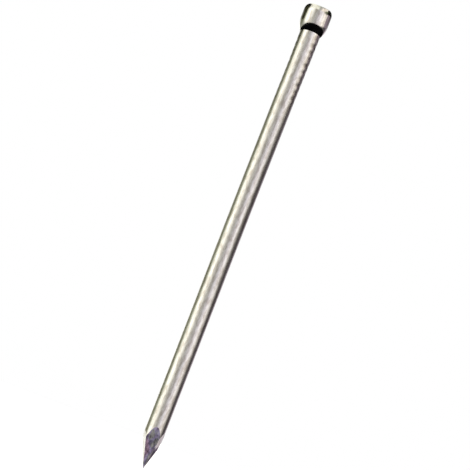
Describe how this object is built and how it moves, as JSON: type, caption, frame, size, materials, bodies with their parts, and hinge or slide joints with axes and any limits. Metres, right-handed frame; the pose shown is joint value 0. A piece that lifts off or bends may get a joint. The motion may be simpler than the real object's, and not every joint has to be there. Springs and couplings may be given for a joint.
{
  "type": "lost-head nail",
  "caption": "Slim round wire nail with a small barrel-shaped lost head, a coned neck and a four-sided diamond point.",
  "frame": {"origin": "centre of the head's flat top", "axes": "+Z along the wire and out of the head, so the nail is driven along -Z and its tip is lowest; -Y is the side the picture shows"},
  "size_m": [0.0036, 0.0034, 0.06],
  "materials": {
    "bright_drawn_steel": "bright drawn wire with faint lengthwise lines"
  },
  "bodies": {
    "root": {"nail": "bright_drawn_steel"}
  },
  "joints": []
}
